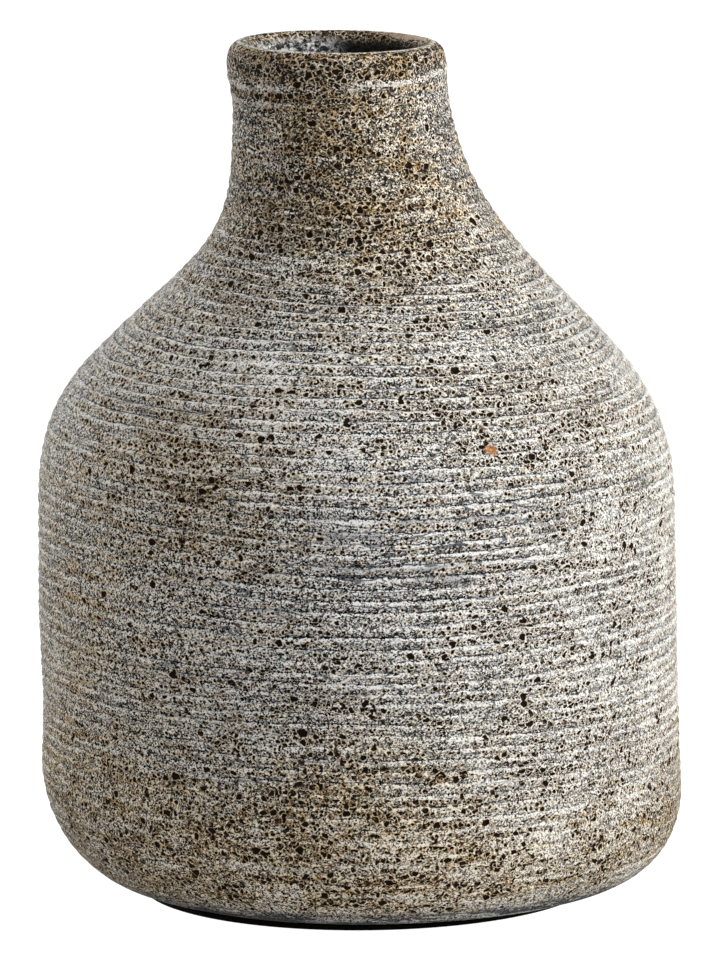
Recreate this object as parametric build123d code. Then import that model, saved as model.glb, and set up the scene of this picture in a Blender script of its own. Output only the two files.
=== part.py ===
from build123d import *

import math
import os

# A hand-thrown stoneware bottle vase: one fired clay vessel under a crater glaze, lined inside with a
# watertight glaze, standing on a rubber ring that is stuck to its foot.
# Frame: +Z up, origin on the table under the middle of the belly, +X to the right of someone who faces
# the vase. Lengths are in millimetres.

# Foot: the rubber ring, its adhesive film and the bare clay foot that they are stuck to
ring_height = 2.0
ring_edge = 0.5
adhesive_thickness = 0.3
adhesive_margin = 1.0
foot_radius = 79.0
foot_height = 1.2
foot_width = 17.0
recess_depth = 2.0

# Outside of the vase, over the glaze
heel_radius = 82.0
heel_height = 36.0
body_radius = 111.0
belly_height = 88.5
shoulder_height = 161.5
neck_radius = 37.3
lip_flare = 0.5
lip_roll = 4.8
lip_rise = 6.6

# How far the hand-thrown form strays sideways, along X, at its foot, heel and rim
foot_drift = 2.2
heel_drift = 5.0
rim_drift = -5.6

# Layers of the wall, and how far the outer glaze runs down inside the mouth
wall = 8.0
base_thickness = 10.0
glaze_thickness = 1.0
liner_thickness = 0.6
glaze_overlap = 24.0

# Levels, from the table up
foot_level = ring_height + adhesive_thickness
heel_level = foot_level + foot_height
belly_level = heel_level + heel_height
shoulder_level = belly_level + belly_height
lip_level = shoulder_level + shoulder_height
floor_level = heel_level + base_thickness
lip_radius = neck_radius + lip_flare - lip_roll

# Turns of the quarter-ellipse heel and of the rolled lip, in degrees, that carry a section
heel_turns = (0, 15, 30, 45, 60, 75, 90)
lip_turns = (0, 21, 42, 63, 84)

# Share of the heel's drift that is left at the top of the heel
heel_drift_share = 0.12

# Sections of the belly: share of its height, share of the widest radius, share of the heel's drift
belly_shares = (
    (0.22, 0.996, 0.07),
    (0.62, 0.999, -0.05),
    (1.00, 0.995, -0.05),
)

# Sections of the shoulder and neck: share of their height, share of the way from the neck's radius
# to the widest radius, share of the rim's drift
shoulder_shares = (
    (0.146, 0.974, 0.09),
    (0.290, 0.857, 0.14),
    (0.397, 0.668, -0.04),
    (0.488, 0.466, -0.22),
    (0.578, 0.275, -0.36),
    (0.668, 0.136, -0.20),
    (0.758, 0.057, 0.22),
    (0.848, 0.016, 0.58),
    (0.935, 0.000, 0.82),
)


def heel_sections(inset, floor):
    """Circles (radius, level, drift) of the heel, lying inset inside the outside, from floor up."""
    reach = body_radius - heel_radius - inset
    rise = heel_height - inset
    start = math.degrees(math.acos((belly_level - floor) / rise))
    sections = []
    for turn in heel_turns:
        angle = math.radians(start + (90 - start) * turn / 90)
        level = belly_level - rise * math.cos(angle)
        left = heel_drift_share + (1 - heel_drift_share) * (belly_level - level) / heel_height
        sections.append((heel_radius + reach * math.sin(angle), level, left * heel_drift))
    return sections


def wall_sections(inset):
    """Circles of the belly, shoulder and neck, lying inset inside the outside, square to it."""
    outside = [(body_radius, belly_level, heel_drift_share * heel_drift)]
    for up, swell, drift in belly_shares:
        outside.append((swell * body_radius, belly_level + up * belly_height, drift * heel_drift))
    for up, swell, drift in shoulder_shares:
        radius = neck_radius + swell * (body_radius - neck_radius)
        outside.append((radius, shoulder_level + up * shoulder_height, drift * rim_drift))
    outside.append((lip_radius + lip_roll, lip_level, rim_drift))
    sections = []
    for before, here, after in zip(outside, outside[1:], outside[2:]):
        along = Vector(after[0] - before[0], after[1] - before[1]).normalized()
        sections.append((here[0] - inset * along.Y, here[1] + inset * along.X, here[2]))
    return sections


def lip_sections(cover, side):
    """Circles of the rolled lip, cover under its surface, from its outer (side 1) or inner (side -1)
    edge to its top."""
    sections = []
    for turn in lip_turns:
        angle = math.radians(turn)
        radius = lip_radius + side * (lip_roll - cover) * math.cos(angle)
        sections.append((radius, lip_level + (lip_rise - cover) * math.sin(angle), rim_drift))
    return sections


def skin(sections):
    """A solid whose side passes smoothly through the circles."""
    return loft([Pos(drift, 0, level) * Circle(radius) for radius, level, drift in sections])


def outside_form(cover):
    """The vase as if solid, with its side lying cover under the finished outside."""
    heel = heel_sections(cover, heel_level + cover)
    return skin(heel + wall_sections(cover) + lip_sections(cover, 1))


def inside_form(cover):
    """The hollow of the vase, out of its mouth, with its side lying cover under the finished inside."""
    heel = heel_sections(wall - cover, floor_level - cover)
    return skin(heel + wall_sections(wall - cover) + lip_sections(cover, -1))


def below(level):
    """A block that holds all of the vase under a level."""
    width = 2 * (body_radius + abs(heel_drift) + abs(rim_drift))
    return Box(width, width, level, align=(Align.CENTER, Align.CENTER, Align.MIN))


def foot_disc(radius, level, height):
    """A round disc on the axis of the foot, from a level up."""
    flat = (Align.CENTER, Align.CENTER, Align.MIN)
    return Pos(foot_drift, 0, level) * Cylinder(radius, height, align=flat)


def foot_band(margin, level, height):
    """A flat ring as wide as the clay foot less a margin at each edge, from a level up."""
    outer = foot_disc(foot_radius - margin, level, height)
    inner = foot_disc(foot_radius - foot_width + margin, level, height)
    return outer - inner


def rounded_ring():
    """The rubber ring, as wide as the clay foot, with its edges rounded."""
    ring = foot_band(0, 0, ring_height)
    return fillet(ring.edges().filter_by(GeomType.CIRCLE), ring_edge)


def build():
    """The named sub-parts."""
    hollow = inside_form(0)
    clay_hollow = inside_form(liner_thickness)
    lined_hollow = clay_hollow & below(lip_level - glaze_overlap)
    foot = foot_disc(foot_radius, foot_level, floor_level - foot_level - liner_thickness)
    recess = foot_disc(foot_radius - foot_width, foot_level, recess_depth)
    clay = outside_form(glaze_thickness) + foot - clay_hollow - recess
    return {
        "stoneware_body": clay,
        "outer_glaze": outside_form(0) - foot - clay - lined_hollow - hollow,
        "liner_glaze": lined_hollow - hollow,
        "foot_adhesive": foot_band(adhesive_margin, ring_height, adhesive_thickness),
        "rubber_foot_ring": rounded_ring(),
    }


os.makedirs("parts", exist_ok=True)
for name, shape in build().items():
    export_step(shape, f"parts/{name}.step")
    print(name, "solids", len(shape.solids()), "volume", round(shape.volume))
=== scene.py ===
import math
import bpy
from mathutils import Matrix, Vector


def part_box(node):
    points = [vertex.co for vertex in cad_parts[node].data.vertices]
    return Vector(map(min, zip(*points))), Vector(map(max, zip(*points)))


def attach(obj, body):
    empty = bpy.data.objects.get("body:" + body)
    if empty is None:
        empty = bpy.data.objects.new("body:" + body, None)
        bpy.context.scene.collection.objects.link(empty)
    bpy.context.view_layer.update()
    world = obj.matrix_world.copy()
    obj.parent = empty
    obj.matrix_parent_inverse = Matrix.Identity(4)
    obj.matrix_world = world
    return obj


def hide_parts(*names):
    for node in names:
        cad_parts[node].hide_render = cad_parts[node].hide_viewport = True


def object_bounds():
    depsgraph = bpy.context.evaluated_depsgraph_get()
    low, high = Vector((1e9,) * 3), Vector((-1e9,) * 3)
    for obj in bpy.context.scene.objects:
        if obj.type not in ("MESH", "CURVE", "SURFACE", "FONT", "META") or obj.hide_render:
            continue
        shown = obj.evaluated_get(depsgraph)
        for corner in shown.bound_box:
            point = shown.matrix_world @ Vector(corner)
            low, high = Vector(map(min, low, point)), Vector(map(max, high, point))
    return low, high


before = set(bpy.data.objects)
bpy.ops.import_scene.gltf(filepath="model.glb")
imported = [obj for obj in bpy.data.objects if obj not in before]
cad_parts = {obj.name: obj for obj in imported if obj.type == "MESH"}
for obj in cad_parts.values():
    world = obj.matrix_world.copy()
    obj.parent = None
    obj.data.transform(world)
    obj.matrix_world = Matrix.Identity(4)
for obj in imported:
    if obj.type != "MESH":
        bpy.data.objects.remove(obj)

from types import SimpleNamespace

import bpy
import numpy as np
from mathutils import Matrix, Vector
from mathutils.bvhtree import BVHTree

# A hand-thrown stoneware bottle vase in a pitted grey crater glaze. Lengths are in metres, in the frame
# of the solids: +Z up, and the side that is seen in front faces -Y. A turn is an angle round the vase
# from its front, positive to the right. The glaze's material works in millimetres.

cad_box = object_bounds()
mm = 0.001

# Mesh of the glaze coat, and the limits of the values that it keeps for its material
columns = 760
row_step = 0.5 * mm
fine_step = 0.2 * mm
outer_rays = 1200
mouth_rays = 300
hidden_rows = 60
smoothing = 1.2 * mm
coat_thickness = 0.9 * mm
bake_strip = 0.04
field_low = -0.3
field_high = 1.2

# Throwing rings: their pitch and strength at a few levels, their shape, and their relief
ring_levels = (0.0, 0.130, 0.170, 0.220, 0.260, 0.300)
ring_pitches = (4.0 * mm, 4.0 * mm, 4.3 * mm, 4.3 * mm, 4.6 * mm, 4.8 * mm)
reach_levels = (0.004, 0.02, 0.06, 0.20, 0.235, 0.27, 0.285)
reach_strengths = (0, 0.35, 0.52, 0.38, 0.32, 0.4, 0.1)
patch_strength = 0.5
usual_strength = 0.75
ring_swell = 0.72
ring_fall = 0.28
ring_middle = 0.45
ring_lean = 0.5
ring_relief = 0.80 * mm
hand_relief = 0.25 * mm
deepest = 0.42 * mm
highest = 0.8 * mm

# Pale lines under the lip: the upper one's level, how it wanders in millimetres (up on the right, down in
# front, in small waves), how it fades in front, and the lower one, which runs round the left only
collar_middle = 0.2855
collar_right = 1.7
collar_front = 1.3
collar_wave = 0.3
collar_waves = 7
collar_faintest = 0.25
collar_gain = 1.6
collar_turn = 8.0
collar_gap = 5.5 * mm
collar_widths = (0.9 * mm, 0.8 * mm)
lower_strength = 0.8
left_gain = 1.4
collar_relief = 0.4 * mm

# Dark row of pits between the two lines
row_gap = 2.8 * mm
row_width = 1.1 * mm
row_brown = 0.6
row_dark = 0.35

# Lip: how far down it reaches, how calm and how browned and pitted it is, its uneven rim and pale edge,
# where the inside of the mouth begins, and the levels in millimetres over which its pits close up
lip_reach = 22 * mm
lip_calm = 0.5
lip_strength = 0.9
rim_unevenness = 0.7 * mm
rim_tilt = 60.0
rim_line = 0.7 * mm
rim_rows = 20
mouth_fade = (3 * mm, 7 * mm)
lip_low = cad_box[1].z / mm - 12.0
lip_high = lip_low + 5.0

# Foot: its worn pale edge, the slate band over it, and how pits and brown fade out towards it
foot_edge = 3.8 * mm
foot_line = 0.6 * mm
foot_line_strength = 1.1
foot_slate_levels = (0.0035, 0.005, 0.009, 0.013)
foot_slate_strengths = (0.4, 1.0, 1.0, 0.0)
foot_calm_levels = (0.006, 0.013)
foot_calm_strengths = (0.2, 1.0)
line_calm = 0.9

# Brown all over the glaze, and how sharply the iron spot is cut out of its patches
brown_base = 0.12
iron_gain = 2.0
iron_cut = 0.6

# Soft noise on the coat: seed, cells across, cells up, strength
slow_wobble = (1, 7, 16, 0.42)
quick_wobble = (2, 24, 70, 0.13)
ring_ripple = (10, 240, 170, 0.05)
slow_vary = (3, 14, 64, 0.5)
quick_vary = (4, 40, 90, 0.2)
slow_hand = (5, 9, 12, 0.7)
quick_hand = (6, 30, 44, 0.3)
brown_clouds = (7, 8, 10, 0.25)
pit_clouds = (8, 9, 11, 0.25)
slate_clouds = (9, 8, 18, 0.3)

# Grain and pits, in millimetres: a size of pit is its spacing and its smallest and largest radius
coarse_grain = 0.75
fine_grain = 0.48
fine_share = 0.75
tiny_pits = (1.1, 0.22, 0.44)
small_pits = (1.55, 0.38, 0.74)
medium_pits = (3.4, 0.75, 1.40)
large_pits = (6.0, 0.9, 1.7)
foam_cell = 2.5
foam_wall = 0.29

# How strongly the walls show in foam and round tiny, small, medium and large pits, and how deep the last
# three are pressed in
wall_strengths = (0.9, 0.1, 0.95, 0.95, 0.95)
pit_depths = (0.10 * mm, 0.16 * mm, 0.20 * mm)

# Distances from a pit's edge, in millimetres, over which its wall, rust, floor and hollow come in; the floor
# is near-black, partly painted shade of the hollow
wall_edge = (0.80, 0.30)
rust_edge = (0.21, 0.05)
floor_edge = (0.05, -0.06)
bump_edge = (0.2, -0.4)
sunk_edge = (0.25, -0.45)

# Rings as drawn, in shares of their pitch: where the pale crest, pale glaze with a painted highlight, begins
# and ends, how far the dark groove, slate with painted shade, lies from the middle of a ring, and where the
# row of pits runs
crest_rise = (0.40, 0.76)
crest_fall = (0.97, 0.91)
groove_edge = (0.39, 0.45)
pit_row = 0.42

# Noise in the glaze, in cells per millimetre: bands, clumps, streaks and smears drawn out sideways, and
# clouds
band_across = 0.05
clump_across = 0.06
clump_up = 0.13
streak_across = 0.03
smear_across = 0.05
smear_up = 0.4
cloud_scale = 0.05

# Stretches along X, in millimetres, over which the look changes from the left to the right
whole_width = (-80.0, 80.0)
far_left = (-95.0, -45.0)
left_side = (-60.0, -10.0)
right_side = (20.0, 80.0)
# Where the painted shadow inside the mouth comes in, going right
mouth_shadow_side = (-8.0, 0.0)

# Levels in millimetres: pits come in upwards over the first pair, smears and a paler edge, painted light
# bounced from the floor, downwards over the other two
foot_pits = (6.0, 12.0)
foot_smears = (12.0, 7.5)
foot_bounce_levels = (8.0, 5.0)

# Colours of the glaze: its tones from dark to pale, then pairs of a dark and a pale colour, then single ones
grey_tones = (
    (0.00, (0.008, 0.007, 0.006)),
    (1.00, (0.86, 0.85, 0.82)),
    (0.25, (0.040, 0.036, 0.031)),
    (0.50, (0.19, 0.183, 0.168)),
    (0.75, (0.52, 0.50, 0.455)),
)
tan_tones = (
    (0.00, (0.010, 0.007, 0.005)),
    (1.00, (0.84, 0.75, 0.58)),
    (0.25, (0.040, 0.029, 0.018)),
    (0.50, (0.175, 0.130, 0.080)),
    (0.75, (0.47, 0.38, 0.245)),
)
grey_walls = ((0.46, 0.42, 0.34, 1.0), (0.97, 0.94, 0.86, 1.0))
tan_walls = ((0.30, 0.22, 0.13, 1.0), (0.92, 0.82, 0.62, 1.0))
golden_walls = ((0.20, 0.115, 0.040, 1.0), (0.74, 0.54, 0.28, 1.0))
rust_colours = ((0.10, 0.052, 0.018, 1.0), (0.38, 0.21, 0.078, 1.0))
# Near-black pit floors: the pits' dark colour deepened with painted shade of each hollow
pit_floors_with_painted_shade = ((0.001, 0.001, 0.001, 1.0), (0.016, 0.008, 0.003, 1.0))
cream_colours = ((0.50, 0.46, 0.39, 1.0), (0.84, 0.80, 0.72, 1.0))
iron_colours = ((0.26, 0.10, 0.030, 1.0), (0.62, 0.30, 0.10, 1.0))
mouth_colours = ((0.020, 0.022, 0.027, 1.0), (0.72, 0.72, 0.70, 1.0))
# Painted shadow on the right of the inside of the mouth, the wall that faces away from the key lamp
mouth_painted_shadow = (0.010, 0.008, 0.006, 1.0)
# Painted light: the worn line near the foot is lifted to this bright cream, standing in for light bounced
# from the floor
foot_painted_bounce_light = (0.98, 0.95, 0.87, 1.0)
slate_tint = (0.15, 0.165, 0.20, 1.0)
# The palest colour on the right: painted shade that holds down the side under the key lamp
right_painted_shade_cap = (0.80, 0.78, 0.735, 1.0)

# Surface of the glaze, and of the plain pieces under it
glaze_gloss = 0.06
glaze_bump = 0.8
glaze_relief = 0.6 * mm
plain_bump = 0.5

# Patches on the glaze: turn in degrees, level in mm, half-width in degrees, half-height in mm, strength.
# A negative strength takes away. On the back the patches come again, turned by so many degrees.
back_turn = 170
brown_patches = (
    (-30, 163, 13, 17, 0.48),
    (-22, 140, 12, 14, 0.35),
    (-50, 30, 30, 20, 1.1),
    (0, 24, 60, 13, 0.75),
    (45, 22, 30, 14, 0.25),
    (2, 53, 8, 20, 0.5),
    (-62, 75, 16, 50, 0.6),
    (-30, 266, 34, 28, 0.9),
    (15, 264, 24, 26, 1.1),
    (40, 240, 24, 12, 0.5),
    (20, 185, 30, 9, 0.2),
    (20, 198, 44, 22, -0.22),
    (62, 120, 30, 80, -0.16),
    (-60, 140, 28, 80, 0.34),
    (-48, 266, 20, 8, -0.4),
)
pit_patches = (
    (-30, 163, 14, 20, 0.40),
    (-24, 139, 14, 14, 0.32),
    (-50, 28, 34, 20, 0.8),
    (0, 22, 60, 12, 0.5),
    (-10, 81, 18, 14, 0.5),
    (20, 62, 30, 14, 0.3),
    (-30, 262, 34, 34, 1.0),
    (15, 262, 22, 30, 0.55),
    (28, 226, 26, 10, 0.45),
    (-2, 236, 26, 6, 0.5),
    (-50, 266, 22, 8, -0.9),
    (-16, 252.5, 10, 2.5, -0.6),
    (-40, 78, 30, 34, 0.28),
    (-24, 220, 26, 8, -0.25),
    (22, 180, 24, 12, 0.45),
    (52, 150, 24, 46, 0.25),
    (30, 100, 26, 20, 0.2),
    (45, 24, 26, 14, 0.30),
)
slate_patches = (
    (-22, 117, 12, 9, 0.7),
    (-4, 130, 14, 13, 0.9),
    (14, 141, 16, 14, 1.0),
    (34, 152, 14, 10, 0.7),
    (16, 215, 18, 8, 0.7),
    (-15, 53, 12, 9, 0.6),
    (-48, 180, 14, 12, 0.4),
    (-16, 252.5, 10, 2.5, 1.0),
)
# Darkening, or lightening where the strength is negative: the glaze's own darker places, with painted shade
# on the left of the body and neck and painted light along both edges of the body
tone_and_painted_light_patches = (
    (-52, 262, 24, 26, 0.34),
    (0, 268, 60, 30, 0.24),
    (0, 293, 400, 6, 0.16),
    (2, 262, 22, 24, 0.08),
    (-35, 254, 26, 1.5, 0.35),
    (0, 28, 40, 14, -0.16),
    (60, 30, 24, 14, -0.05),
    (-42, 187, 24, 18, -0.42),
    (-28, 163, 14, 16, -0.19),
    (20, 192, 40, 20, 0.04),
    (52, 120, 24, 60, -0.05),
    (-82, 120, 14, 80, -0.06),
    (82, 120, 14, 80, -0.07),
    (-56, 110, 26, 70, 0.10),
    (-50, 24, 30, 14, 0.09),
    (58, 26, 22, 14, 0.14),
)
pale_streaks = (
    (-51, 257.4, 14, 0.8, 0.8),
    (-46, 248.5, 12, 1.1, 0.7),
    (-50, 36, 9, 0.9, 0.6),
    (-17, 27.7, 11, 1.0, 0.7),
)
iron_spots = (
    (26.2, 169.0, 1.0, 0.8, 0.9),
    (26.7, 167.6, 0.6, 0.9, 0.7),
)
ring_patches = (
    (5, 150, 34, 40, 1.2),
    (24, 110, 26, 30, 0.5),
    (-20, 222, 32, 12, 2.0),
    (-60, 180, 25, 50, 0.4),
    (-30, 246, 30, 8, 0.9),
    (-42, 188, 26, 18, 0.9),
    (24, 200, 30, 16, 0.5),
    (70, 125, 22, 60, 0.5),
    (-40, 110, 30, 45, 0.25),
    (62, 196, 20, 16, 1.1),
    (58, 156, 16, 16, 0.9),
    (4, 194, 26, 12, 1.0),
    (-36, 72, 30, 34, 0.9),
)

# Camera: it stands level with the photograph's and sees the vase under the same angles
camera_distance = 3.4
camera_elevation = 10.0
camera_roll = 0.65
camera_target = Vector((0.0010, -0.0010, 0.1426))
camera_clip_end = 50
frame_long_side = 960
pixels_per_metre = 640 / 0.222
sensor = 36.0

# Studio: lamps as name, place, size and power; the brightness of the surroundings as light and as seen
lamps = (
    ("key", (1.85, -0.55, 1.0), 1.0, 52),
    ("top", (-0.5, -0.4, 2.0), 1.2, 17),
    ("rim", (-1.2, 1.5, 0.8), 1.0, 20),
)
white = (1.0, 1.0, 1.0, 1.0)
sky_light = 0.16
sky_seen = 1.0
floor_half = 4.0
floor_colour = (0.86, 0.86, 0.86, 1.0)
floor_roughness = 0.9
floor_glow = 1.3
floor_glow_share = 0.8


class Graph:
    """Adds nodes to a shader or geometry tree. Each helper returns the socket to link on."""

    def __init__(self, tree):
        self.tree = tree

    def add(self, kind, inputs, **settings):
        node = self.tree.nodes.new(kind)
        for name, value in settings.items():
            setattr(node, name, value)
        for socket, value in inputs.items():
            if isinstance(value, bpy.types.NodeSocket):
                self.tree.links.new(value, node.inputs[socket])
            else:
                node.inputs[socket].default_value = value
        return node

    def math(self, operation, a, b=0.0, clamp=False):
        node = self.add("ShaderNodeMath", {0: a, 1: b}, operation=operation, use_clamp=clamp)
        return node.outputs[0]

    def plus(self, a, b):
        return self.math("ADD", a, b)

    def minus(self, a, b):
        return self.math("SUBTRACT", a, b)

    def times(self, a, b, clamp=False):
        return self.math("MULTIPLY", a, b, clamp)

    def most(self, a, b):
        return self.math("MAXIMUM", a, b)

    def away(self, value, middle):
        """How far a value is from a middle one, on either side."""
        return self.math("ABSOLUTE", self.minus(value, middle))

    def step(self, value, low, high, start=0.0, end=1.0):
        """A smooth step from start, where the value is low, to end, where it is high."""
        inputs = {"Value": value, "From Min": low, "From Max": high, "To Min": start, "To Max": end}
        return self.add("ShaderNodeMapRange", inputs, interpolation_type="SMOOTHSTEP").outputs[0]

    def mix(self, share, a, b, blend="MIX"):
        node = self.add("ShaderNodeMix", {0: share, 6: a, 7: b}, data_type="RGBA", blend_type=blend)
        return node.outputs[2]

    def split(self, vector):
        return self.add("ShaderNodeSeparateXYZ", {0: vector}).outputs

    def laid(self, x, y, up, across):
        """A vector that draws noise out sideways: X and Y times across, and a height of its own."""
        inputs = {0: self.times(x, across), 1: self.times(y, across), 2: up}
        return self.add("ShaderNodeCombineXYZ", inputs).outputs[0]

    def noise(self, vector, scale, detail=2.0, roughness=0.5):
        inputs = {"Vector": vector, "Scale": scale, "Detail": detail, "Roughness": roughness}
        return self.add("ShaderNodeTexNoise", inputs).outputs[0]

    def colours(self, value, stops):
        """A colour for the value, from stops whose first two are the ends."""
        node = self.add("ShaderNodeValToRGB", {0: value})
        ramp = node.color_ramp
        for i, (place, colour) in enumerate(stops):
            stop = ramp.elements[i] if i < 2 else ramp.elements.new(place)
            stop.position = place
            stop.color = (*colour, 1.0)
        return node.outputs[0]

    def shaken(self, vector, scale, reach):
        """The vector pushed about by noise, which roughens what is drawn from it."""
        inputs = {"Vector": vector, "Scale": scale, "Detail": 1.0}
        noise = self.add("ShaderNodeTexNoise", inputs).outputs[1]
        inputs = {0: noise, 1: (reach, reach, reach), 2: vector}
        return self.add("ShaderNodeVectorMath", inputs, operation="MULTIPLY_ADD").outputs[0]

    def grains(self, vector, size):
        """A random value from 0 to 1 for each grain of so many millimetres."""
        node = self.add("ShaderNodeTexVoronoi", {"Vector": vector, "Scale": 1 / size})
        return self.split(node.outputs["Color"])[0]

    def pits(self, vector, size, density, grow):
        """Distance from the edge of the nearest pit, in millimetres and negative inside it, and whether
        the pit is there."""
        cell, smallest, largest = size
        node = self.add("ShaderNodeTexVoronoi", {"Vector": vector, "Scale": 1 / cell})
        chance = self.split(node.outputs["Color"])
        radius = self.times(self.step(chance[0], 0.0, 1.0, smallest, largest), grow)
        present = self.math("LESS_THAN", chance[1], density)
        return self.minus(self.times(node.outputs["Distance"], cell), radius), present

    def foam(self, vector, cell, wall, density):
        """As for pits, but of pits that crowd together and leave thin walls."""
        inputs = {"Vector": vector, "Scale": 1 / cell}
        node = self.add("ShaderNodeTexVoronoi", inputs, feature="DISTANCE_TO_EDGE")
        present = self.math("LESS_THAN", self.grains(vector, cell), density)
        return self.minus(wall, self.times(node.outputs["Distance"], cell)), present


def cast(tree, start, direction):
    """X of the first point that a ray along X meets."""
    return tree.ray_cast(Vector(start), Vector(direction))[0].x


def smooth(values, steps):
    """Values averaged over a few neighbours, with both ends held."""
    reach = 3 * steps
    weights = np.exp(-0.5 * (np.arange(-reach, reach + 1) / steps) ** 2)
    before = 2 * values[0] - values[reach:0:-1]
    after = 2 * values[-1] - values[-2:-reach - 2:-1]
    return np.convolve(np.concatenate([before, values, after]), weights / weights.sum(), "valid")


def cast_rows():
    """Rows (radius, level, centre) of the coat's visible side, read off its solid, from the foot over the
    lip to where the coat ends inside the mouth."""
    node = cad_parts["outer_glaze"]
    tree = BVHTree.FromObject(node, bpy.context.evaluated_depsgraph_get())
    low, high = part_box("outer_glaze")
    liner_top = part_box("liner_glaze")[1].z
    ring_low, ring_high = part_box("rubber_foot_ring")
    skip = 0.01 * mm
    far = 2 * high.x
    rows = [((ring_high.x - ring_low.x) / 2, low.z, (ring_high.x + ring_low.x) / 2)]
    share = (1 - np.cos(np.linspace(0, math.pi, outer_rays))) / 2
    for level in low.z + skip + share * (high.z - low.z - 2 * skip):
        right = cast(tree, (far, 0, level), (-1, 0, 0))
        left = cast(tree, (-far, 0, level), (1, 0, 0))
        rows.append(((right - left) / 2, level, (right + left) / 2))
    centre = rows[-1][2]
    share = np.linspace(0, 1, mouth_rays) ** 2
    for level in high.z - skip - share * (high.z - liner_top - 2 * skip):
        right = cast(tree, (centre, 0, level), (1, 0, 0))
        left = cast(tree, (centre, 0, level), (-1, 0, 0))
        rows.append(((right - left) / 2, level, (right + left) / 2))
    return np.array(rows)


def read_form():
    """The coat's smooth form: its rows an even step apart, the way out of them, and a grid of its points."""
    rows = cast_rows()
    along = np.concatenate([[0], np.cumsum(np.hypot(*np.diff(rows[:, :2], axis=0).T))])
    even = np.arange(0, along[-1], fine_step)
    keep = np.arange(0, len(even), round(row_step / fine_step))
    steps = round(smoothing / fine_step)
    radius, level, centre = (smooth(np.interp(even, along, rows[:, k]), steps)[keep] for k in range(3))
    form = SimpleNamespace(radius=radius, level=level, centre=centre, along=even[keep])
    out = np.gradient(level)
    up = -np.gradient(radius)
    length = np.hypot(out, up)
    form.out, form.up = out / length, up / length
    turn = np.linspace(-math.pi, math.pi, columns, endpoint=False)
    form.turns, form.heights = np.meshgrid(turn, form.along / form.along[-1])
    form.levels = np.repeat(level[:, None], columns, 1)
    form.crest_row = int(np.argmax(level))
    form.past_crest = form.along - form.along[form.crest_row]
    form.lip = np.clip(1 - np.abs(form.past_crest) / lip_reach, 0, 1)[:, None] ** 2
    return form


def soft_noise(wave, form):
    """Smooth random values, up to a wave's strength either way, that close round the vase."""
    seed, across, up, strength = wave
    grid = np.random.default_rng(seed).uniform(-1, 1, (up + 2, across))
    u = (form.turns / (2 * math.pi) % 1.0) * across
    v = form.heights * up
    i, j = np.floor(u).astype(int), np.floor(v).astype(int)
    f, g = u - i, v - j
    f, g = f * f * (3 - 2 * f), g * g * (3 - 2 * g)
    left, right = i % across, (i + 1) % across
    lower = grid[j, left] * (1 - f) + grid[j, right] * f
    upper = grid[j + 1, left] * (1 - f) + grid[j + 1, right] * f
    return strength * (lower * (1 - g) + upper * g)


def bell(*away):
    """1 where every distance is 0, falling off smoothly. Distances are counted in half-widths."""
    return np.exp(-0.5 * sum(part ** 2 for part in away))


def patched(table, form):
    """How strongly the patches of a table cover each point. The back carries the same ones, turned."""
    cover = np.zeros_like(form.turns)
    for across, up, width, height, strength in table:
        for start in (across, across + back_turn):
            away = (np.degrees(form.turns) - start + 180) % 360 - 180
            cover += strength * bell(away / width, (form.levels / mm - up) / height)
    return cover


def ring_ledge(phase):
    """Height of the throwing rings, 0 to 1: each swells slowly upwards and ends in a short ledge."""
    share = phase % 1.0
    swell = np.clip(share / ring_swell, 0, 1)
    ledge = np.clip((1 - share) / ring_fall, 0, 1)
    return (swell * swell * (3 - 2 * swell)) * (ledge * ledge * (3 - 2 * ledge))


def throwing_rings(form):
    """Phase of the throwing rings, a whole number in each groove, and how strongly they show."""
    pitch = np.interp(form.level, ring_levels, ring_pitches)
    rings = np.cumsum(np.gradient(form.along) / pitch)[:, None]
    wobble = soft_noise(slow_wobble, form) + soft_noise(quick_wobble, form)
    phase = rings + ring_lean * np.sin(form.turns) + wobble + soft_noise(ring_ripple, form)
    vary = usual_strength + soft_noise(slow_vary, form) + soft_noise(quick_vary, form)
    reach = np.interp(form.level, reach_levels, reach_strengths)[:, None]
    reach = reach + patch_strength * patched(ring_patches, form)
    ringed = np.clip(vary * reach, 0, field_high)
    ringed[form.crest_row:] = 0
    return phase, ringed


def collar_level(form):
    """Level of the upper pale line under the lip: higher on the right, lowest in front."""
    lean = collar_right * np.sin(form.turns) - collar_front * np.cos(form.turns)
    return collar_middle + (lean + collar_wave * np.sin(collar_waves * form.turns)) * mm


def left_half(form):
    """1 on the left of the vase, fading out at its front and back."""
    return np.clip(-left_gain * np.sin(form.turns), 0, 1)


def collar_lines(form):
    """Pale lines that run round the neck under the lip: one all round, faint in front, one on the left."""
    first = collar_level(form)
    second = first - collar_gap
    shown = np.abs(np.sin(form.turns + math.radians(collar_turn)))
    fade = np.clip(collar_faintest + collar_gain * shown, 0, 1)
    upper = bell((form.levels - first) / collar_widths[0]) * fade
    lower = lower_strength * bell((form.levels - second) / collar_widths[1])
    return upper + lower * left_half(form)


def dark_row(form):
    """A dark row of pits between the two pale lines, on the left."""
    return bell((form.levels - collar_level(form) + row_gap) / row_width) * left_half(form)


def coat_relief(form, phase, ringed, collar):
    """How far each point of the coat stands off its smooth form."""
    hand = soft_noise(slow_hand, form) + soft_noise(quick_hand, form)
    push = ring_relief * ringed * (ring_ledge(phase) - ring_middle)
    push = push + hand_relief * hand * (1 - lip_calm * form.lip)
    return np.clip(push + collar_relief * collar, -deepest, highest)


def place_rows(form, push, inset, keep):
    """Points of some of the rows, pushed off the smooth form and set in under it."""
    turns = form.turns[keep]
    off = push[keep] - inset
    spread = form.radius[keep, None] + off * form.out[keep, None]
    rise = form.level[keep, None] + off * form.up[keep, None]
    rise = rise + rim_unevenness * form.lip[keep] * np.cos(turns + math.radians(rim_tilt))
    return np.stack([form.centre[keep, None] + spread * np.sin(turns), -spread * np.cos(turns), rise], -1)


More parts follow.
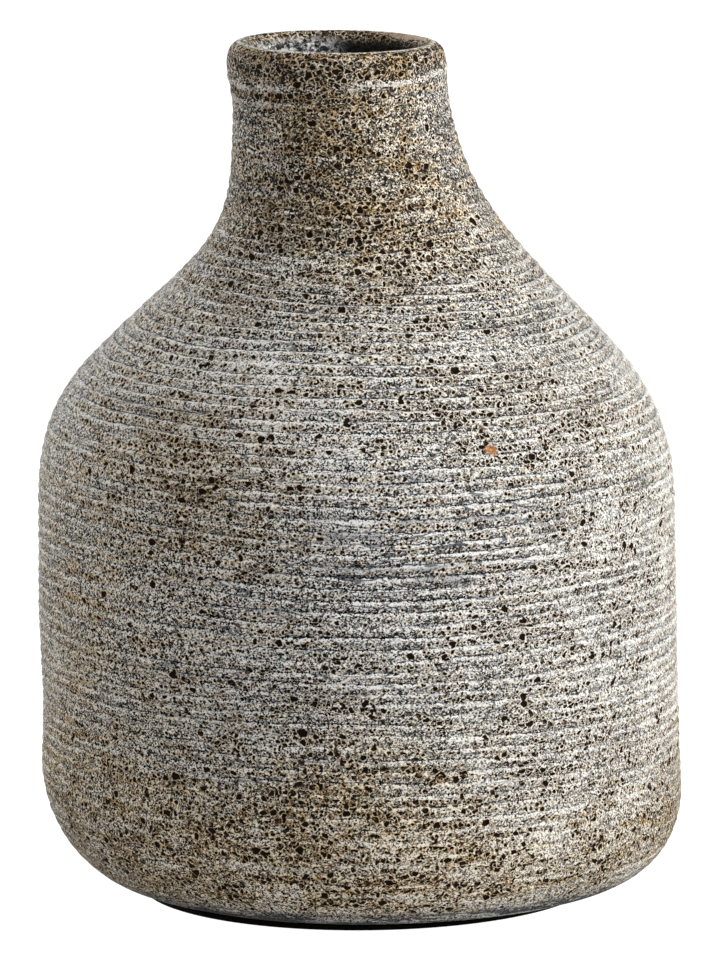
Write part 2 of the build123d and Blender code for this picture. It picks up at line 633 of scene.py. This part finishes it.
def glaze_fields(form, ringed, collar):
    """What the material needs to know at each point, by name."""
    rimmed = bell((form.past_crest + rim_line) / rim_line)[:, None] + collar + patched(pale_streaks, form)
    rimmed = rimmed + foot_line_strength * bell((form.levels - foot_edge) / foot_line)
    rimmed[form.crest_row + rim_rows:] = 0
    calm = np.interp(form.level, foot_calm_levels, foot_calm_strengths)[:, None]
    calm = calm * (1 - line_calm * np.clip(rimmed, 0, 1))
    row = dark_row(form)
    at_lip = lip_strength * form.lip
    brown = brown_base + patched(brown_patches, form) + at_lip + soft_noise(brown_clouds, form)
    pitted = patched(pit_patches, form) + at_lip + soft_noise(pit_clouds, form)
    slate = patched(slate_patches, form) + soft_noise(slate_clouds, form)
    slate = slate + np.interp(form.level, foot_slate_levels, foot_slate_strengths)[:, None]
    fade = form.along[form.crest_row] + np.array(mouth_fade)
    inner = np.interp(form.along, fade, (0, 1))
    return {
        "ringed": ringed,
        "brown": brown * calm + row_brown * row,
        "pitted": pitted * calm + row,
        "slate": slate,
        "inner": np.repeat(inner[:, None], columns, 1),
        "rimmed": rimmed,
        # Darker tone from the patches, partly painted shade and light, and from the dark row of pits
        "dark": patched(tone_and_painted_light_patches, form) + row_dark * row,
        "iron": np.clip(iron_gain * patched(iron_spots, form) - iron_cut, 0, 1),
    }


def build_coat():
    """The crater glaze as a closed skin with its throwing rings, and what its material needs to know."""
    form = read_form()
    phase, ringed = throwing_rings(form)
    collar = collar_lines(form)
    push = coat_relief(form, phase, ringed, collar)
    every = np.arange(len(form.level))
    hidden = np.unique(np.linspace(0, len(every) - 1, hidden_rows).astype(int))[::-1]
    shown_points = place_rows(form, push, 0.0, every)
    hidden_points = place_rows(form, np.zeros_like(push), coat_thickness, hidden)
    points = np.concatenate([shown_points, hidden_points])
    order = np.concatenate([every, hidden])
    coat = mesh_of_rows("crater_glaze_coat", points)
    add_bake_map(coat, len(every), len(hidden))
    for name, values in glaze_fields(form, ringed, collar).items():
        store(coat, name, np.clip(values, field_low, field_high)[order], "FLOAT")
    store(coat, "phase", phase[order], "FLOAT")
    store(coat, "place", points / mm, "FLOAT_VECTOR")
    return coat


def mesh_of_rows(name, points):
    """A closed mesh of four-sided faces through rows of points that close both ways."""
    count, wide = points.shape[:2]
    row, column = np.meshgrid(np.arange(count), np.arange(wide), indexing="ij")
    next_row, next_column = (row + 1) % count, (column + 1) % wide
    corners = [row * wide + column, row * wide + next_column]
    corners += [next_row * wide + next_column, next_row * wide + column]
    corners = np.stack(corners, -1).reshape(-1)
    mesh = bpy.data.meshes.new(name)
    mesh.vertices.add(count * wide)
    mesh.vertices.foreach_set("co", points.reshape(-1).astype(np.float32))
    mesh.loops.add(len(corners))
    mesh.loops.foreach_set("vertex_index", corners.astype(np.int32))
    mesh.polygons.add(len(corners) // 4)
    mesh.polygons.foreach_set("loop_start", np.arange(0, len(corners), 4, dtype=np.int32))
    mesh.update(calc_edges=True)
    mesh.shade_smooth()
    piece = bpy.data.objects.new(name, mesh)
    bpy.context.scene.collection.objects.link(piece)
    return piece


def add_bake_map(piece, shown, hidden):
    """Unrolls the rows flat: the shown side fills the sheet but for a strip at its top."""
    shown_edges = np.linspace(0, 1 - bake_strip, shown)
    starts = np.concatenate([shown_edges, np.linspace(1 - 0.9 * bake_strip, 1, hidden)])
    ends = np.append(starts[1:], 1.0)
    ends[shown - 1] = starts[shown - 1]
    left, right = np.arange(columns) / columns, (np.arange(columns) + 1) / columns
    u = np.stack(np.broadcast_arrays(left, right, right, left), -1)
    u = np.broadcast_to(u, (shown + hidden, columns, 4))
    v = np.broadcast_to(np.stack([starts, starts, ends, ends], -1)[:, None], u.shape)
    layer = piece.data.uv_layers.new(name="OFBake")
    layer.data.foreach_set("uv", np.stack([u, v], -1).reshape(-1).astype(np.float32))


def store(piece, name, values, kind):
    """Keeps one value for each point of a mesh, for its material."""
    field = piece.data.attributes.new(name, kind, "POINT")
    key = "vector" if kind == "FLOAT_VECTOR" else "value"
    field.data.foreach_set(key, values.reshape(-1).astype(np.float32))


def pit_cover(graph, place, phase, pitted):
    """How thickly the pits lie: in bands along the rings, how densely, how near to the middle of a ring,
    and how crowded."""
    x, y, z = graph.split(place)
    bands = graph.step(graph.noise(graph.laid(x, y, phase, band_across), 1.0), 0.40, 0.64)
    clumps = graph.noise(graph.laid(x, y, graph.times(z, clump_up), clump_across), 1.0)
    clumps = graph.step(clumps, 0.38, 0.60, 0.15, 1.40)
    clumps = graph.times(clumps, graph.step(z, *foot_pits, 0.1, 1.0))
    density = graph.times(pitted, graph.step(bands, 0.0, 1.0, 0.55, 1.0))
    density = graph.plus(density, graph.step(bands, 0.0, 1.0, 0.14, 0.90))
    density = graph.times(density, clumps)
    near = graph.step(graph.away(graph.math("FRACT", phase), pit_row), 0.40, 0.14)
    patchy = graph.plus(graph.times(clumps, 0.65), 0.35)
    patchy = graph.times(patchy, graph.step(bands, 0.0, 1.0, 0.50, 1.20))
    patchy = graph.most(patchy, graph.step(z, lip_low, lip_high, 0.0, 0.95))
    crowded = graph.step(graph.times(pitted, patchy), 0.14, 0.75, 0.0, 0.9)
    return bands, density, near, crowded


def pit_layers(graph, place, phase, pitted):
    """The bands of pits, how crowded they are, and five layers of them, each as (distance from its edge
    in mm, negative inside it, and whether it is there): foam, then single ones from tiny to large."""
    x = graph.split(place)[0]
    bands, density, near, crowded = pit_cover(graph, place, phase, pitted)
    open_row = graph.plus(graph.times(near, 0.75), graph.times(pitted, 0.4))
    sparse = graph.times(density, graph.plus(open_row, 0.08))
    in_rows = graph.times(crowded, graph.step(near, 0.0, 1.0, 0.55, 1.0))
    alone = graph.times(sparse, graph.step(crowded, 0.0, 0.9, 1.0, 0.4))
    alone = graph.times(alone, graph.step(x, *left_side, 1.5, 1.0))
    bold = graph.plus(graph.times(sparse, 0.40), graph.times(in_rows, 0.40))
    bold = graph.times(bold, graph.step(x, *left_side, 0.55, 1.0))
    grow = graph.plus(graph.times(near, 0.25), 0.80)
    fine_bend = graph.shaken(place, 0.9, 0.9)
    wide_bend = graph.shaken(place, 0.5, 2.4)
    crowd = graph.foam(graph.shaken(place, 0.5, 1.8), foam_cell, foam_wall, in_rows)
    tiny = graph.pits(fine_bend, tiny_pits, alone, grow)
    small = graph.pits(fine_bend, small_pits, alone, grow)
    medium = graph.pits(wide_bend, medium_pits, bold, grow)
    large = graph.pits(wide_bend, large_pits, graph.times(density, 0.15), grow)
    return bands, crowded, (crowd, tiny, small, medium, large)


def sink_pits(coat):
    """Presses the small, medium and large pits into the mesh, where the material also draws them."""
    tree = bpy.data.node_groups.new("sink_pits", "GeometryNodeTree")
    tree.interface.new_socket("Geometry", in_out="INPUT", socket_type="NodeSocketGeometry")
    tree.interface.new_socket("Geometry", in_out="OUTPUT", socket_type="NodeSocketGeometry")
    graph = Graph(tree)
    source = graph.add("NodeGroupInput", {})

    def field(name, kind="FLOAT"):
        return graph.add("GeometryNodeInputNamedAttribute", {"Name": name}, data_type=kind).outputs[0]

    layers = pit_layers(graph, field("place", "FLOAT_VECTOR"), field("phase"), field("pitted"))[2]
    depth = 0.0
    for (edge, present), deep in zip(layers[2:], pit_depths):
        inside = graph.step(edge, *sunk_edge)
        depth = graph.plus(graph.times(graph.times(inside, present), -deep), depth)
    normal = graph.add("GeometryNodeInputNormal", {}).outputs[0]
    offset = graph.add("ShaderNodeVectorMath", {0: normal, "Scale": depth}, operation="SCALE").outputs[0]
    moved = graph.add("GeometryNodeSetPosition", {"Geometry": source.outputs[0], "Offset": offset})
    graph.add("NodeGroupOutput", {0: moved.outputs[0]})
    modifier = coat.modifiers.new("pits", "NODES")
    modifier.node_group = tree
    shaped = coat.evaluated_get(bpy.context.evaluated_depsgraph_get())
    shaped = bpy.data.meshes.new_from_object(shaped)
    coat.modifiers.clear()
    coat.data = shaped


def new_material(name):
    """An empty material, its graph and its surface shader."""
    material = bpy.data.materials.new(name)
    material.use_nodes = True
    material.node_tree.nodes.clear()
    graph = Graph(material.node_tree)
    shader = graph.add("ShaderNodeBsdfPrincipled", {})
    graph.add("ShaderNodeOutputMaterial", {0: shader.outputs[0]})
    return material, graph, shader


def link_surface(graph, shader, colour, rough, bump):
    """Gives a surface shader its colour, roughness and bump."""
    for socket, value in (("Base Color", colour), ("Roughness", rough), ("Normal", bump.outputs[0])):
        graph.tree.links.new(value, shader.inputs[socket])


def glaze_inputs(graph):
    """What the coat's mesh says about each point, and the grain and pits that the colours share."""

    def field(name, output="Fac"):
        return graph.add("ShaderNodeAttribute", {}, attribute_name=name).outputs[output]

    names = ("phase", "ringed", "brown", "pitted", "dark", "slate", "inner", "rimmed", "iron")
    at = SimpleNamespace(**{name: field(name) for name in names})
    at.place = field("place", "Vector")
    at.x, at.y, at.z = graph.split(at.place)
    bend = graph.shaken(at.place, 1.6, 0.5)
    at.coarse = graph.grains(bend, coarse_grain)
    at.fine = graph.grains(bend, fine_grain)
    at.grain = graph.plus(graph.times(at.coarse, 1 - fine_share), graph.times(at.fine, fine_share))
    bands, at.crowded, at.layers = pit_layers(graph, at.place, at.phase, at.pitted)
    at.brown = graph.times(at.brown, graph.step(bands, 0.0, 1.0, 0.62, 1.15))
    return at


def mark_rings(graph, at):
    """Adds the pale crests of the rings, partly painted highlight, their dark lines, partly painted shade,
    and noise that runs along and breaks them.
    """
    along = graph.laid(at.x, at.y, at.phase, streak_across)
    at.streak = graph.noise(along, 0.7, 3.0, 0.6)
    at.broken = graph.noise(along, 1.1)
    strata = graph.noise(along, 1.7, 1.0)
    ragged = graph.step(graph.noise(at.place, 0.5), 0.2, 0.8, -0.07, 0.07)
    share = graph.math("FRACT", graph.plus(at.phase, ragged))
    at.crest = graph.times(graph.step(share, *crest_rise), graph.step(share, *crest_fall))
    # The dark groove line: slate pooled in the groove, deepened with painted shade of the undercut
    toothed = graph.plus(graph.away(share, 0.5), graph.step(at.grain, 0.2, 0.8, 0.03, -0.05))
    groove = graph.times(graph.step(toothed, *groove_edge), graph.step(at.broken, 0.72, 0.46))
    thin = graph.step(graph.away(strata, 0.5), 0.035, 0.010)
    at.line = graph.most(groove, graph.times(thin, 0.45))


def glaze_tone(graph, at):
    """Tone of the bare glaze, 0 dark to 1 pale, from its grain, clouds, ring crests and dark patches, with
    painted light and shade in the grain's contrast, the crests, the slopes below them and the patches.
    """
    # Painted shade: the grain's contrast grows towards the left, away from the key lamp, standing in for
    # shade in the glaze's fine relief; it eases among crowded pits
    grain_contrast_with_painted_shade = graph.step(at.x, *whole_width, 3.1, 1.2)
    grain_contrast_with_painted_shade = graph.times(grain_contrast_with_painted_shade, graph.step(at.crowded, 0.0, 0.9, 1.0, 0.8))
    tone = graph.times(graph.minus(at.grain, 0.5), grain_contrast_with_painted_shade)
    cloud = graph.noise(at.place, cloud_scale, 3.0)
    tone = graph.plus(tone, graph.step(cloud, 0.3, 0.7, 0.54, 0.72))
    # Pale glaze on the ring crests with a painted highlight on their upturned ledges, dimmed by half on the
    # right where the key lamp falls
    crest_painted_highlight_strength = graph.times(at.ringed, graph.step(at.x, *right_side, 1.0, 0.5))
    pale = graph.times(graph.times(at.crest, crest_painted_highlight_strength), graph.step(at.broken, 0.30, 0.60, 0.20, 0.52))
    # Painted shade on the ring slopes below the crests, and a darker tone among crowded pits
    shade = graph.times(graph.minus(1.0, at.crest), graph.times(at.ringed, 0.15))
    shade = graph.plus(shade, graph.times(at.crowded, 0.10))
    return graph.minus(graph.plus(tone, pale), graph.plus(shade, at.dark))


def slate_and_groove_shade(graph, at):
    """How slaty the glaze is: lines in the grooves of the rings, slate deepened with painted shade,
    blotches, and smears over the foot.
    """
    # The groove lines, slate with painted shade, are weaker on the far left and on the right
    side = graph.step(at.x, *far_left, 0.55, 1.0)
    side = graph.times(side, graph.step(at.x, *right_side, 1.0, 0.4))
    strong = graph.plus(graph.times(graph.times(at.ringed, 1.7), side), at.slate)
    line = graph.times(at.line, strong, clamp=True)
    blotch = graph.times(graph.step(at.streak, 0.48, 0.70), graph.times(at.slate, 0.6))
    stain_and_groove_shade = graph.most(graph.times(line, 0.95), blotch)
    low = graph.laid(at.x, at.y, graph.times(at.z, smear_up), smear_across)
    smear = graph.step(graph.noise(low, 1.0, 3.0, 0.6), 0.46, 0.52)
    return graph.most(stain_and_groove_shade, graph.times(smear, graph.step(at.z, *foot_smears)))


def bare_colour(graph, at):
    """Colour of the glaze between its pits: grey or tan tones, with slate and painted shade of the grooves
    laid over them.
    """
    tone = glaze_tone(graph, at)
    grey = graph.colours(tone, grey_tones)
    tan = graph.colours(tone, tan_tones)
    colour = graph.mix(graph.times(at.brown, 0.75, clamp=True), grey, tan)
    stained = graph.mix(1.0, colour, slate_tint, "MULTIPLY")
    # Slate, and painted shade in the ring grooves, darken the colour here
    return graph.mix(slate_and_groove_shade(graph, at), colour, stained)


def pit_walls(graph, at):
    """Colour of the walls round the pits: pale, tan in the brown patches and golden in places there."""
    dots = graph.step(at.grain, 0.30, 0.70)
    tan = graph.times(at.brown, 0.9, clamp=True)
    wall = graph.mix(tan, graph.mix(dots, *grey_walls), graph.mix(dots, *tan_walls))
    golden = graph.step(graph.noise(at.place, 0.22), 0.47, 0.60, 0.0, 0.75)
    golden = graph.times(golden, graph.times(at.brown, 1.0, clamp=True))
    return graph.mix(golden, wall, graph.mix(dots, *golden_walls))


def draw_pits(graph, at, colour):
    """The colour with every pit drawn in, in its wall, with its rusty edge and a near-black floor, the pit's
    dark colour deepened with painted shade of the hollow, and a height for the bump.
    """
    wall = pit_walls(graph, at)
    rusty = graph.mix(at.coarse, *rust_colours)
    floor = graph.mix(at.fine, *pit_floors_with_painted_shade)
    tight = graph.plus(graph.times(at.crowded, 1.4), 1.0)
    height = at.grain
    for (edge, present), strength in zip(at.layers, wall_strengths):
        rim = graph.times(edge, tight)
        halo = graph.times(graph.step(rim, *wall_edge), graph.times(present, strength))
        rust = graph.times(graph.step(rim, *rust_edge), graph.times(present, 0.9))
        # Painted shade: the floor of the pit is drawn near-black, as the shade in its hollow
        core = graph.times(graph.step(edge, *floor_edge), present)
        colour = graph.mix(halo, colour, wall)
        colour = graph.mix(rust, colour, rusty)
        colour = graph.mix(core, colour, floor)
        sunk = graph.times(graph.step(edge, *bump_edge), present)
        height = graph.minus(height, graph.times(sunk, 0.8))
    return colour, height


def draw_lines(graph, at, colour):
    """The colour with the worn pale lines at lip and foot drawn in; near the foot the line is brightened
    with painted light bounced from the floor.
    """
    worn = graph.step(graph.noise(at.place, 0.25), 0.3, 0.7, -0.4, 0.1)
    worn = graph.plus(graph.step(at.grain, 0.2, 0.8, -0.35, 0.35), worn)
    line = graph.step(graph.plus(at.rimmed, worn), 0.35, 0.80, 0.0, 0.9)
    cream = graph.mix(at.fine, *cream_colours)
    # Painted light: near the foot the cream is brightened, standing in for light bounced up from the floor.
    cream = graph.mix(graph.step(at.z, *foot_bounce_levels), cream, foot_painted_bounce_light)
    return graph.mix(line, colour, cream)


def mouth_lining(graph, at):
    """Colour of the inside of the mouth: mottled slate and white, with painted shadow on the right."""
    mottle = graph.noise(at.place, 0.40, 5.0, 0.75)
    lining = graph.mix(graph.step(mottle, 0.45, 0.56), *mouth_colours)
    ragged = graph.plus(at.x, graph.step(mottle, 0.3, 0.7, -6.0, 6.0))
    # Painted shadow: the right of the mouth is drawn near-black.
    return graph.mix(graph.step(ragged, *mouth_shadow_side, 0.0, 0.98), lining, mouth_painted_shadow)


def crater_glaze():
    """Grey, grainy glaze with pale ring crests, slate grooves, brown patches and rimmed pits."""
    material, graph, shader = new_material("crater_glaze")
    at = glaze_inputs(graph)
    mark_rings(graph, at)
    colour, height = draw_pits(graph, at, bare_colour(graph, at))
    # Painted shade: on the right, under the key lamp, the colour is held no paler than this cap.
    colour = graph.mix(graph.step(at.x, *right_side), colour, right_painted_shade_cap, "DARKEN")
    colour = draw_lines(graph, at, colour)
    colour = graph.mix(at.iron, colour, graph.mix(at.coarse, *iron_colours))
    colour = graph.mix(at.inner, colour, mouth_lining(graph, at))
    rough = graph.step(at.fine, 0.0, 1.0, 0.72, 0.95)
    bump = graph.add("ShaderNodeBump", {"Strength": glaze_bump, "Distance": glaze_relief, "Height": height})
    link_surface(graph, shader, colour, rough, bump)
    shader.inputs["Specular IOR Level"].default_value = glaze_gloss
    return material


def speckled(name, dark, light, scale, roughness, relief, gloss=0.5):
    """A plain material with grain and cloudy tone, for the pieces under the glaze."""
    material, graph, shader = new_material(name)
    place = graph.add("ShaderNodeTexCoord", {}).outputs["Object"]
    grain = graph.noise(place, scale, 4.0, 0.6)
    cloud = graph.noise(place, scale / 30)
    tone = graph.plus(graph.times(grain, 0.7), graph.times(cloud, 0.3))
    colour = graph.mix(graph.step(tone, 0.35, 0.65), (*dark, 1.0), (*light, 1.0))
    rough = graph.step(grain, 0.3, 0.7, roughness - 0.1, roughness + 0.08)
    bump = graph.add("ShaderNodeBump", {"Strength": plain_bump, "Distance": relief, "Height": grain})
    link_surface(graph, shader, colour, rough, bump)
    shader.inputs["Specular IOR Level"].default_value = gloss
    return material


def fired_clay():
    """Bare fired stoneware, buff and gritty."""
    return speckled("fired_clay", (0.22, 0.155, 0.105), (0.46, 0.36, 0.26), 900, 0.85, 0.2 * mm)


def liner_glaze():
    """The smoother, darker glaze inside."""
    return speckled("liner_glaze", (0.03, 0.027, 0.024), (0.17, 0.16, 0.14), 160, 0.45, 0.2 * mm)


def adhesive_film():
    """The pale film between the ring and the foot."""
    return speckled("adhesive_film", (0.60, 0.57, 0.50), (0.80, 0.78, 0.72), 700, 0.5, 0.05 * mm)


def black_rubber():
    """Dull black rubber, near-black so that the ring also paints the dark shadow band under the heel."""
    dark, light = (0.002, 0.002, 0.002), (0.007, 0.007, 0.007)
    return speckled("black_rubber", dark, light, 1500, 0.85, 0.05 * mm, 0.05)


def dress(node, material):
    """Gives a solid of the frame its finished material."""
    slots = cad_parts[node].data.materials
    slots.clear()
    slots.append(material)


def add_camera():
    """A long lens from the photograph's height, turned a little as the photograph is."""
    elevation = math.radians(camera_elevation)
    data = bpy.data.cameras.new("camera")
    data.sensor_width = sensor
    data.lens = camera_distance * pixels_per_metre * sensor / frame_long_side
    data.clip_end = camera_clip_end
    camera = bpy.data.objects.new("camera", data)
    bpy.context.scene.collection.objects.link(camera)
    back = Vector((0, -math.cos(elevation), math.sin(elevation)))
    look = (-back).to_track_quat("-Z", "Y").to_matrix().to_4x4()
    roll = Matrix.Rotation(math.radians(-camera_roll), 4, "Z")
    camera.matrix_world = Matrix.Translation(camera_target + camera_distance * back) @ look @ roll
    bpy.context.scene.camera = camera


def add_lamp(name, place, size, power):
    """A soft square lamp that faces the middle of the vase."""
    data = bpy.data.lights.new(name, "AREA")
    data.size = size
    data.energy = power
    lamp = bpy.data.objects.new(name, data)
    bpy.context.scene.collection.objects.link(lamp)
    lamp.location = place
    lamp.rotation_euler = (camera_target - Vector(place)).to_track_quat("-Z", "Y").to_euler()


def background_rays(graph):
    """1 for the rays that should see the plain white background."""
    path = graph.add("ShaderNodeLightPath", {})
    seen = graph.most(path.outputs["Is Camera Ray"], path.outputs["Is Glossy Ray"])
    return graph.most(seen, path.outputs["Is Transmission Ray"])


def add_sky():
    """Even surroundings that light the vase softly and look white."""
    world = bpy.data.worlds.new("studio")
    bpy.context.scene.world = world
    world.use_nodes = True
    world.node_tree.nodes.clear()
    graph = Graph(world.node_tree)
    strength = graph.step(background_rays(graph), 0.0, 1.0, sky_light, sky_seen)
    sky = graph.add("ShaderNodeBackground", {"Color": white, "Strength": strength})
    graph.add("ShaderNodeOutputWorld", {0: sky.outputs[0]})


def pale_floor():
    """A matt pale floor that looks nearly white and keeps the vase's shadow."""
    material, graph, shader = new_material("floor")
    shader.inputs["Base Color"].default_value = floor_colour
    shader.inputs["Roughness"].default_value = floor_roughness
    glow = graph.add("ShaderNodeEmission", {"Color": white, "Strength": floor_glow})
    share = graph.times(background_rays(graph), floor_glow_share)
    both = graph.add("ShaderNodeMixShader", {0: share, 1: shader.outputs[0], 2: glow.outputs[0]})
    output = next(n for n in graph.tree.nodes if n.type == "OUTPUT_MATERIAL")
    graph.tree.links.new(both.outputs[0], output.inputs[0])
    return material


def add_floor():
    """The floor that the vase stands on."""
    half = floor_half
    corners = [(-half, -half, 0), (half, -half, 0), (half, half, 0), (-half, half, 0)]
    mesh = bpy.data.meshes.new("floor")
    mesh.from_pydata(corners, [], [(0, 1, 2, 3)])
    mesh.materials.append(pale_floor())
    floor = bpy.data.objects.new("floor", mesh)
    bpy.context.scene.collection.objects.link(floor)


def add_studio():
    """A pale floor, white surroundings and lamps from the right, above and left."""
    bpy.context.scene.view_settings.view_transform = "Standard"
    add_sky()
    add_floor()
    for lamp in lamps:
        add_lamp(*lamp)


coat = build_coat()
sink_pits(coat)
coat.data.materials.append(crater_glaze())
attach(coat, "root")
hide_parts("outer_glaze")

dress("stoneware_body", fired_clay())
dress("liner_glaze", liner_glaze())
dress("foot_adhesive", adhesive_film())
dress("rubber_foot_ring", black_rubber())

add_camera()
add_studio()
